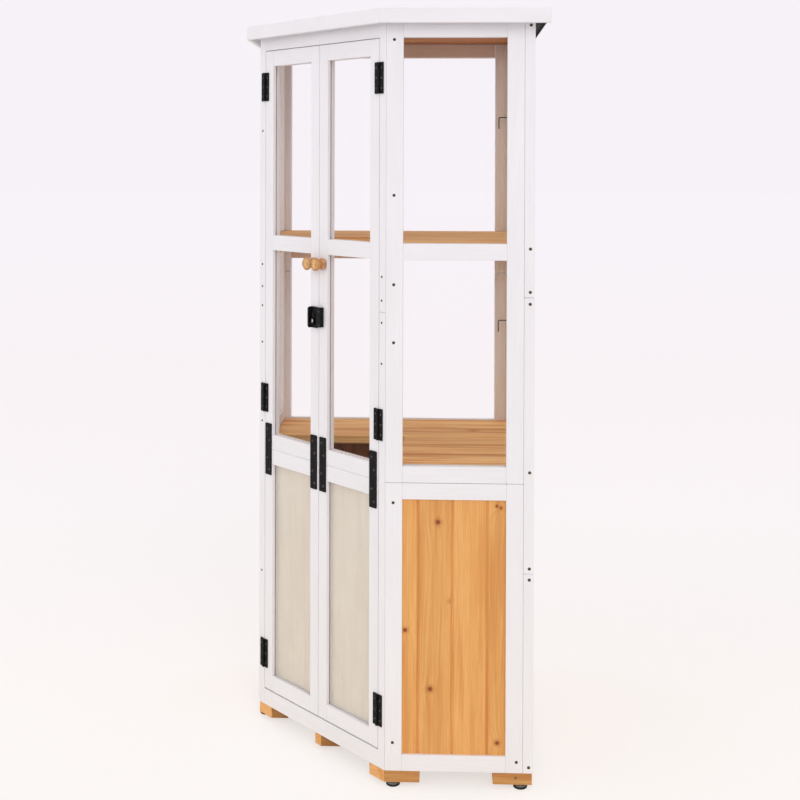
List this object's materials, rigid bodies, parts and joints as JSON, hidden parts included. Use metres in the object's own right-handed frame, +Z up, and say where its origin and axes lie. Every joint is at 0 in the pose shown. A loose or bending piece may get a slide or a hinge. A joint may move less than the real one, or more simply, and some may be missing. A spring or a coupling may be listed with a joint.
{
  "type": "wooden mini greenhouse",
  "caption": "Tall five-sided corner greenhouse cabinet in painted timber, with clear glazed walls, boarded base, shelves, flat roof and a pair of hinged doors on a diagonal front",
  "frame": {"origin": "floor level, at the centre of the square that the two back walls enclose, which is the centre of the bounding box's base", "axes": "+Z is up; the back walls face +X and +Y, the short sides face -X and -Y, and the doors face the diagonal between -X and -Y"},
  "size_m": [0.67, 0.67, 1.5963],
  "materials": {
    "white_paint": "white satin paint on planed softwood",
    "clear_sheet": "clear acrylic sheet, thin",
    "stained_boards": "orange-brown stained softwood boards with knots",
    "plywood": "pale birch plywood",
    "black_steel": "black powder-coated steel",
    "knob_wood": "lacquered turned beech",
    "roofing_felt": "board deck under dark green-grey felt",
    "shelf_pine": "plain pine boards",
    "block_pine": "plain sawn pine",
    "black_plastic": "moulded black plastic with a grey metal collar"
  },
  "bodies": {
    "cabinet": {"right_side_upper_frame": "white_paint", "right_side_lower_frame": "white_paint", "right_back_frame": "white_paint", "right_side_glazing": "clear_sheet", "right_back_glazing": "clear_sheet", "right_side_boards": "stained_boards", "right_back_boards": "stained_boards", "right_hinge_bottom_frame_leaf": "black_steel", "right_hinge_middle_frame_leaf": "black_steel", "right_hinge_top_frame_leaf": "black_steel", "left_side_upper_frame": "white_paint", "left_side_lower_frame": "white_paint", "left_back_frame": "white_paint", "left_side_glazing": "clear_sheet", "left_back_glazing": "clear_sheet", "left_side_boards": "stained_boards", "left_back_boards": "stained_boards", "left_hinge_bottom_frame_leaf": "black_steel", "left_hinge_middle_frame_leaf": "black_steel", "left_hinge_top_frame_leaf": "black_steel", "front_frame": "white_paint", "roof_fascia": "white_paint", "roof_deck": "roofing_felt", "upper_shelf": "shelf_pine", "lower_shelf": "shelf_pine", "floor_panel": "shelf_pine", "foot_block_front_right": "block_pine", "foot_block_front_left": "block_pine", "foot_block_right": "block_pine", "foot_block_left": "block_pine", "foot_block_back": "block_pine", "foot_block_front_middle": "block_pine"},
    "right_door": {"right_door_upper_frame": "white_paint", "right_door_lower_frame": "white_paint", "right_door_glazing": "clear_sheet", "right_door_lower_panel": "plywood", "right_door_hinge_plate": "black_steel", "right_door_meeting_plate": "black_steel", "right_door_knob": "knob_wood", "right_hinge_bottom_door_leaf": "black_steel", "right_hinge_middle_door_leaf": "black_steel", "right_hinge_top_door_leaf": "black_steel", "latch_keeper": "black_steel"},
    "left_door": {"left_door_upper_frame": "white_paint", "left_door_lower_frame": "white_paint", "left_door_glazing": "clear_sheet", "left_door_lower_panel": "plywood", "left_door_hinge_plate": "black_steel", "left_door_meeting_plate": "black_steel", "left_door_knob": "knob_wood", "left_hinge_bottom_door_leaf": "black_steel", "left_hinge_middle_door_leaf": "black_steel", "left_hinge_top_door_leaf": "black_steel", "latch_plate": "black_steel"},
    "lever": {"latch_lever": "black_steel"},
    "foot_front_right": {"levelling_foot_front_right": "black_plastic"},
    "foot_front_left": {"levelling_foot_front_left": "black_plastic"},
    "foot_right": {"levelling_foot_right": "black_plastic"},
    "foot_left": {"levelling_foot_left": "black_plastic"},
    "foot_back": {"levelling_foot_back": "black_plastic"}
  },
  "joints": [
    {"name": "right_door_hinge", "type": "hinge", "parent": "cabinet", "child": "right_door", "pos_m": [-0.01583, -0.29283, 0.8], "axis": [0, 0, 1], "range_deg": [0, 180]},
    {"name": "left_door_hinge", "type": "hinge", "parent": "cabinet", "child": "left_door", "pos_m": [-0.29283, -0.01583, 0.8], "axis": [0, 0, -1], "range_deg": [0, 180]},
    {"name": "lever_pivot", "type": "hinge", "parent": "left_door", "child": "lever", "pos_m": [-0.16331, -0.14776, 0.933], "axis": [0.7071, 0.7071, 0], "range_deg": [0, 90]},
    {"name": "foot_front_right_thread", "type": "hinge", "parent": "cabinet", "child": "foot_front_right", "pos_m": [0.0185, -0.29, 0.005], "axis": [0, 0, 1], "continuous": true},
    {"name": "foot_front_left_thread", "type": "hinge", "parent": "cabinet", "child": "foot_front_left", "pos_m": [-0.29, 0.0185, 0.005], "axis": [0, 0, 1], "continuous": true},
    {"name": "foot_right_thread", "type": "hinge", "parent": "cabinet", "child": "foot_right", "pos_m": [0.28, -0.29, 0.005], "axis": [0, 0, 1], "continuous": true},
    {"name": "foot_left_thread", "type": "hinge", "parent": "cabinet", "child": "foot_left", "pos_m": [-0.29, 0.28, 0.005], "axis": [0, 0, 1], "continuous": true},
    {"name": "foot_back_thread", "type": "hinge", "parent": "cabinet", "child": "foot_back", "pos_m": [0.28, 0.28, 0.005], "axis": [0, 0, 1], "continuous": true}
  ]
}
